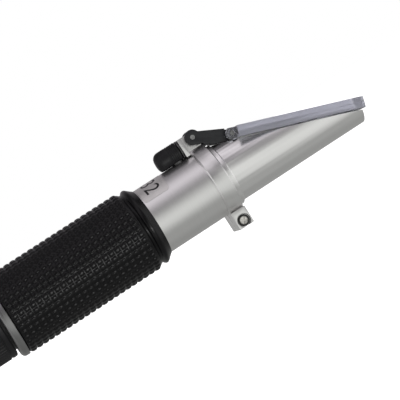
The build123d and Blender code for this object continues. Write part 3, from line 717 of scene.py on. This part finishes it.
def arc(x, radius, size, start, end, count):
    """Points of a round corner in a section, between two angles in degrees."""
    turns = [radians(start + (end - start) * i / count) for i in range(count + 1)]
    return [(x + size * cos(turn), radius + size * sin(turn)) for turn in turns]


def in_slot(place, slot_x, half_slot):
    """True for a place in front of the slot's end and inside its wedge under the cap."""
    below = CAP_Z - place.z
    return place.x > slot_x + 1e-6 and below > 0 and abs(place.y) < below * sin(half_slot) / cos(half_slot)


def calibration_cap():
    front, rear = cap_high.x, cap_low.x
    slot_x = front - CAP_SLOT_LENGTH
    section = [(rear, 0.0)]
    section += arc(rear + CAP_ROUND, CAP_R - CAP_ROUND, CAP_ROUND, 180, 90, 7)
    section += [(slot_x, CAP_R)]
    for i in range(CAP_GROOVES):
        x = front - 0.45 * MM - (CAP_GROOVES - i) * CAP_GROOVE_PITCH
        section += [(x, CAP_R), (x + 0.12 * MM, CAP_R - CAP_GROOVE_DEPTH),
                    (x + 0.24 * MM, CAP_R - CAP_GROOVE_DEPTH), (x + 0.36 * MM, CAP_R)]
    section += arc(front - 0.3 * MM, CAP_R - 0.3 * MM, 0.3 * MM, 90, 0, 3)
    section += [(front, CAP_BORE_R), (slot_x, CAP_BORE_R), (rear + CAP_END, CAP_BORE_R),
                (rear + CAP_END, 0.0)]
    shape = bmesh.new()
    points = [shape.verts.new((x, 0.0, CAP_Z + radius)) for x, radius in section]
    chain = [shape.edges.new(pair) for pair in zip(points, points[1:])]
    half_slot = pi * CAP_SLOT_STEPS / CAP_STEPS
    start = Matrix.Rotation(pi + half_slot, 3, "X")
    bmesh.ops.rotate(shape, verts=points, cent=(0, 0, CAP_Z), matrix=start)
    bmesh.ops.spin(shape, geom=points + chain, cent=(0, 0, CAP_Z), axis=(1, 0, 0), angle=2 * pi,
                   steps=CAP_STEPS, use_merge=True)
    bmesh.ops.remove_doubles(shape, verts=shape.verts, dist=1e-7)
    bmesh.ops.dissolve_degenerate(shape, edges=shape.edges, dist=1e-7)
    taken = [f for f in shape.faces if in_slot(f.calc_center_median(), slot_x, half_slot)]
    bmesh.ops.delete(shape, geom=taken, context="FACES")
    ends = [e for e in shape.edges if e.is_boundary
            and all(abs(v.co.x - slot_x) < 1e-6 for v in e.verts)]
    bmesh.ops.bridge_loops(shape, edges=ends)
    bmesh.ops.holes_fill(shape, edges=[e for e in shape.edges if e.is_boundary], sides=0)
    for vert in shape.verts:
        reach = Vector((vert.co.y, vert.co.z - AXIS_Z))
        if reach.length < TUBE_R + CAP_TUBE_GAP:
            reach.length = TUBE_R + CAP_TUBE_GAP
            vert.co.y, vert.co.z = reach.x, AXIS_Z + reach.y
    return finish_piece(shape, "calibration_cap", "zero_screw_cap", "cap_rubber")


cap = calibration_cap()

# %% [markdown]
# ## The label
# The label is a foil sticker that wraps the top of the tube, with round corners and a thin printed
# border. It is cut flat first: a rectangle with bevelled corners, inset twice for the border. Then
# it is sliced into narrow strips and every point is rolled onto the tube, so that the border and
# the corners follow the curve exactly.

# %% Wrapping a flat piece on the tube
LABEL_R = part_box("scale_label")[1].z - AXIS_Z
WRAP_STRIP = 0.35 * MM


def wrap_on_tube(shape, radius, low, high):
    """Slices a flat piece and rolls it on the tube. Flat X stays, flat Y goes round from the top,
    towards the near side where Y is negative, and flat Z is the height over the radius."""
    cuts = int((high - low) / WRAP_STRIP)
    for i in range(1, cuts):
        y = low + (high - low) * i / cuts
        geom = shape.verts[:] + shape.edges[:] + shape.faces[:]
        bmesh.ops.bisect_plane(shape, geom=geom, dist=1e-9, plane_co=(0, y, 0), plane_no=(0, 1, 0))
    for vert in shape.verts:
        turn, reach = vert.co.y / radius, radius + vert.co.z
        vert.co.y, vert.co.z = reach * sin(turn), AXIS_Z + reach * cos(turn)


# %% The foil label
LABEL_HALF_ANGLE = radians(57)
LABEL_CORNER = 1.3 * MM
LABEL_BORDER_INSET = 0.30 * MM
LABEL_BORDER = 0.11 * MM
LABEL_THICKNESS = 0.07 * MM
label_low, label_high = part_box("scale_label")


def foil_label():
    half_round = LABEL_R * LABEL_HALF_ANGLE
    shape = bmesh.new()
    bmesh.ops.create_grid(shape, x_segments=1, y_segments=1, size=0.5)
    size = (label_high.x - label_low.x, 2 * half_round, 1)
    bmesh.ops.scale(shape, vec=size, verts=shape.verts)
    bmesh.ops.translate(shape, vec=((label_low.x + label_high.x) / 2, 0, 0), verts=shape.verts)
    bmesh.ops.bevel(shape, geom=shape.verts[:], offset=LABEL_CORNER, segments=6, profile=0.5,
                    affect="VERTICES", material=-1)
    face = max(shape.faces, key=lambda f: f.calc_area())
    bmesh.ops.inset_region(shape, faces=[face], thickness=LABEL_BORDER_INSET)
    border = bmesh.ops.inset_region(shape, faces=[face], thickness=LABEL_BORDER)["faces"]
    for ring_face in border:
        ring_face.material_index = 1
    wrap_on_tube(shape, LABEL_R - LABEL_THICKNESS, -half_round, half_round)
    whole = shape.faces[:]
    bmesh.ops.recalc_face_normals(shape, faces=whole)
    bmesh.ops.solidify(shape, geom=whole, thickness=-LABEL_THICKNESS)
    return shape


label = finish_piece(foil_label(), "foil_label", "scale_label", "label_film", smooth=False)
label.data.materials.append(MATERIALS["label_ink"])

# %% [markdown]
# ### The printed numbers
# Scale numbers stand on the label, with their tops towards the prism, so they read round the tube.
# The built-in font gives the outlines. The text is made a mesh while flat, then turned, sliced and
# rolled on like the label, and given the thickness of a coat of ink.

# %% Printed numbers
NUMBERS = "0-32"
NUMBER_HEIGHT = 7.4 * MM
INK_THICKNESS = 0.015 * MM
LAST_NUMBER_ANGLE = radians(46)


def printed_numbers():
    words = bpy.data.curves.new("printed_numbers", "FONT")
    words.body = NUMBERS
    words.size = NUMBER_HEIGHT
    words.space_character = 1.1
    words.resolution_u = 6
    flat = bpy.data.objects.new("flat_numbers", words)
    bpy.context.scene.collection.objects.link(flat)
    evaluated = flat.evaluated_get(bpy.context.evaluated_depsgraph_get())
    outline = bpy.data.meshes.new_from_object(evaluated)
    bpy.data.objects.remove(flat)
    shape = bmesh.new()
    shape.from_mesh(outline)
    bmesh.ops.remove_doubles(shape, verts=shape.verts, dist=1e-7)
    sideways = Matrix.Rotation(-pi / 2, 3, "Z")
    bmesh.ops.rotate(shape, verts=shape.verts, cent=(0, 0, 0), matrix=sideways)
    low = Vector([min(v.co[i] for v in shape.verts) for i in range(3)])
    high = Vector([max(v.co[i] for v in shape.verts) for i in range(3)])
    near_edge = -LABEL_R * LAST_NUMBER_ANGLE
    middle_x = (label_low.x + label_high.x) / 2
    shift = (middle_x - (low.x + high.x) / 2, near_edge - low.y, 0)
    bmesh.ops.translate(shape, vec=shift, verts=shape.verts)
    wrap_on_tube(shape, LABEL_R, near_edge, near_edge + high.y - low.y)
    return shape


def ink_layer(shape):
    bmesh.ops.recalc_face_normals(shape, faces=shape.faces)
    outward = sum(f.normal.dot(Vector((0, f.calc_center_median().y, f.calc_center_median().z - AXIS_Z)))
                  for f in shape.faces)
    if outward < 0:
        bmesh.ops.reverse_faces(shape, faces=shape.faces)
    bmesh.ops.solidify(shape, geom=shape.faces[:], thickness=-INK_THICKNESS)
    data = bpy.data.meshes.new("printed_numbers")
    shape.to_mesh(data)
    shape.free()
    data.materials.append(MATERIALS["label_ink"])
    piece = bpy.data.objects.new("printed_numbers", data)
    bpy.context.scene.collection.objects.link(piece)
    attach(piece, "barrel")
    print("printed numbers:", len(data.polygons), "faces")
    return piece


ink_layer(printed_numbers())

# %% [markdown]
# ## The focusing ring's grip
# The focusing ring has its own rubber band with a smooth bead in front and fine ribs along the
# barrel, one to each face of the spun ring. Each long face is inset and raised into a rib.

# %% Ribbed focusing grip
RIBS = 64
RIB_RISE = 0.28 * MM
RIB_MARGIN = 0.22 * MM
band_low, band_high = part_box("focus_grip")
BAND_R = band_high.z - AXIS_Z
BAND_BORE_R = BAND_R - 0.80 * MM


def ribbed_band():
    front, rear = band_high.x, band_low.x
    valley = BAND_R - RIB_RISE
    section = [(rear, BAND_BORE_R), (rear, valley - 0.1 * MM), (rear + 0.25 * MM, BAND_R - 0.1 * MM),
               (rear + 0.7 * MM, BAND_R), (rear + 1.0 * MM, valley), (front - 2.3 * MM, valley),
               (front - 2.0 * MM, valley), (front - 1.8 * MM, BAND_R - 0.05 * MM),
               (front - 1.2 * MM, BAND_R), (front - 0.45 * MM, BAND_R - 0.05 * MM),
               (front - 0.05 * MM, BAND_R - 0.4 * MM), (front, BAND_BORE_R)]
    shape = spin_section(section, RIBS)
    cells = [f for f in shape.faces if rear + 1.0 * MM < f.calc_center_median().x < front - 2.4 * MM
             and radius_of(f.verts[0]) > BAND_BORE_R + 0.2 * MM]
    bmesh.ops.inset_individual(shape, faces=cells, thickness=RIB_MARGIN, depth=RIB_RISE,
                               use_even_offset=True)
    return finish_piece(shape, "ribbed_focus_band", "focus_grip", "focus_rubber")


band = ribbed_band()
band_bevel = band.modifiers.new("soft_edges", "BEVEL")
band_bevel.width = 0.07 * MM
band_bevel.segments = 2
band_bevel.limit_method = "ANGLE"
band_bevel.angle_limit = BEVEL_ANGLE

# %% [markdown]
# ## The eyecup
# The eyecup is a soft rubber funnel that flares to a rounded rim. Only its section matters: a neck
# with two thin ridges, a flare along a quarter of an ellipse, a bead at the rim, and the same way
# back inside with an even wall. Subdivision then gives it the soft look of a moulding.

# %% Eyecup
CUP_STEPS = 48
CUP_WALL = 1.4 * MM
cup_low, cup_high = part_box("eyecup")
CUP_RIM_R = cup_high.z - AXIS_Z
CUP_SOCKET_R = TUBE_R - 0.81 * MM
CUP_NECK_R = CUP_SOCKET_R + 2.0 * MM
CUP_THROAT_R = 9.6 * MM
CUP_FLARE_X = cup_high.x - 5.6 * MM
CUP_RIM_SHARE = 0.9985        # keeps the rounded rim just inside the design's size


def flare(inner, outer, x_end, count):
    """From the neck to the rim: a quarter of an ellipse that opens towards the eye."""
    length = CUP_FLARE_X - x_end
    turns = [pi / 2 * i / count for i in range(count + 1)]
    return [(CUP_FLARE_X - length * sin(turn), inner + (outer - inner) * (1 - cos(turn)))
            for turn in turns]


def soft_eyecup():
    rim = cup_low.x + 0.05 * MM
    ridge_x = cup_high.x - 1.8 * MM
    section = [(cup_high.x, CUP_SOCKET_R), (cup_high.x, CUP_NECK_R - 0.1 * MM),
               (cup_high.x - 0.1 * MM, CUP_NECK_R)]
    for x in (ridge_x, ridge_x - 1.8 * MM):
        section += [(x, CUP_NECK_R), (x - 0.25 * MM, CUP_NECK_R + 0.35 * MM),
                    (x - 0.75 * MM, CUP_NECK_R + 0.35 * MM), (x - 1.0 * MM, CUP_NECK_R)]
    section += flare(CUP_NECK_R, CUP_RIM_R / SUBDIVISION_SHRINK * CUP_RIM_SHARE, rim + 1.2 * MM, 7)
    section += [(rim + 0.3 * MM, CUP_RIM_R + 0.02 * MM), (rim, CUP_RIM_R - 0.5 * MM),
                (rim + 0.1 * MM, CUP_RIM_R - 1.5 * MM), (rim + 0.9 * MM, CUP_RIM_R - 2.0 * MM)]
    section += flare(CUP_THROAT_R, CUP_RIM_R - CUP_WALL - 0.5 * MM, rim + 2.0 * MM, 7)[::-1]
    section += [(CUP_FLARE_X + 1.0 * MM, CUP_THROAT_R), (CUP_FLARE_X + 1.1 * MM, CUP_THROAT_R),
                (CUP_FLARE_X + 1.1 * MM, CUP_SOCKET_R)]
    return finish_piece(spin_section(section, CUP_STEPS), "soft_eyecup", "eyecup", "eyecup_rubber")


cup = soft_eyecup()
cup_rounding = cup.modifiers.new("rounding", "SUBSURF")
cup_rounding.levels = cup_rounding.render_levels = 1

# %% [markdown]
# ## Which pieces the lamp lights
# Light linking names the pieces that a lamp reaches. Here they are the four rubber mouldings, so
# the lamp leaves the metal to the tent.

# %% Link the lamp to the rubber
rubber_pieces = bpy.data.collections.new("rubber_pieces")
for piece in (grip, cap, band, cup):
    rubber_pieces.objects.link(piece)
glint_lamp.light_linking.receiver_collection = rubber_pieces
